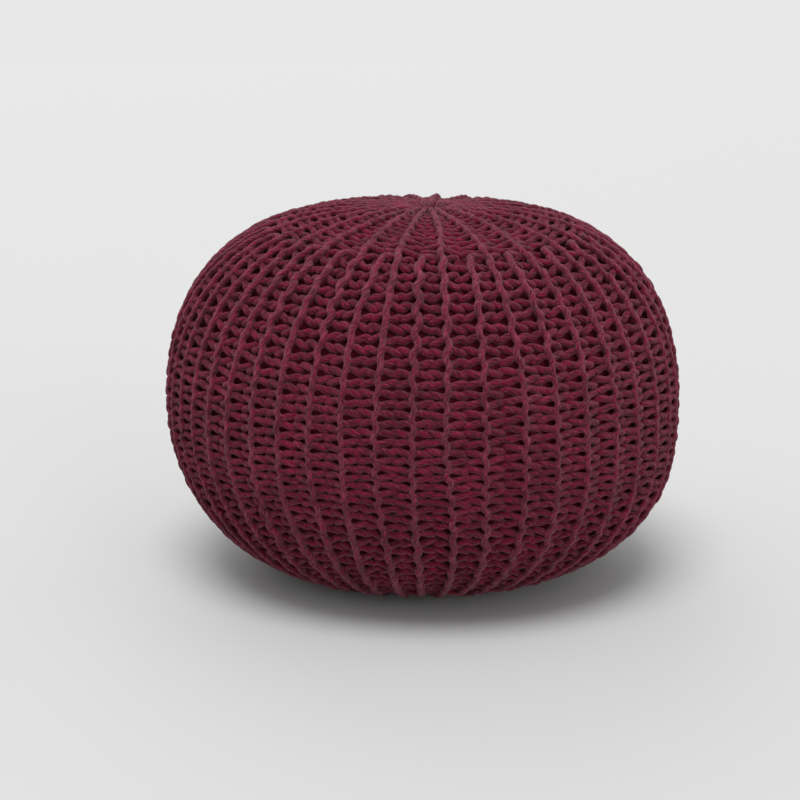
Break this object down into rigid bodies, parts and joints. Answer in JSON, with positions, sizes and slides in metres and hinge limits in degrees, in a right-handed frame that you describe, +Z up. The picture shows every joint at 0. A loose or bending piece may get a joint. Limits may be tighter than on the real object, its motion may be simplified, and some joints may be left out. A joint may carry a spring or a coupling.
{
  "type": "knitted pouf",
  "caption": "Round, firmly filled floor pouf with a thick hand-knitted burgundy cotton cover, ridged from the gathered crown to the flat base.",
  "frame": {"origin": "centre of the flat base, on the floor", "axes": "+Z up, along the axis from the base to the crown; -Y towards the viewer of the picture, +X to the viewer's right"},
  "size_m": [0.508, 0.5074, 0.37],
  "materials": {
    "cotton_yarn": "thick plied cotton yarn, matte and slightly fuzzy, burgundy, hand knitted in garter stitch"
  },
  "bodies": {
    "root": {"knitted_pouf": "cotton_yarn"}
  },
  "joints": []
}
